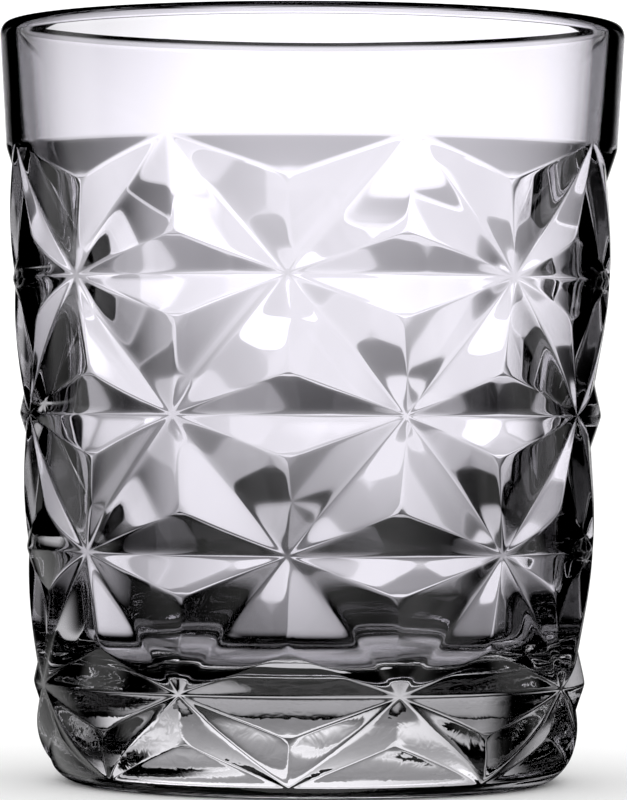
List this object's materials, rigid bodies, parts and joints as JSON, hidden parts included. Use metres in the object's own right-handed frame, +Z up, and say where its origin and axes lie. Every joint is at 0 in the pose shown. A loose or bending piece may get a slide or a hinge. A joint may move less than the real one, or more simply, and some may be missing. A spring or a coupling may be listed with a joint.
{
  "type": "whiskey tumbler",
  "caption": "Low, wide drinking glass with a plain collar, a star-faceted pressed wall, a smooth tapered inside and a thick base on a foot ring",
  "frame": {"origin": "centre of the foot ring, on the surface that the glass stands on", "axes": "+Z up through the mouth, and -Y through a star of every second row and between two stars of the others"},
  "size_m": [0.0826, 0.0826, 0.1],
  "materials": {
    "clear_glass": "polished clear pressed glass with a very faint cool tint"
  },
  "bodies": {
    "root": {"glass_body": "clear_glass"}
  },
  "joints": []
}
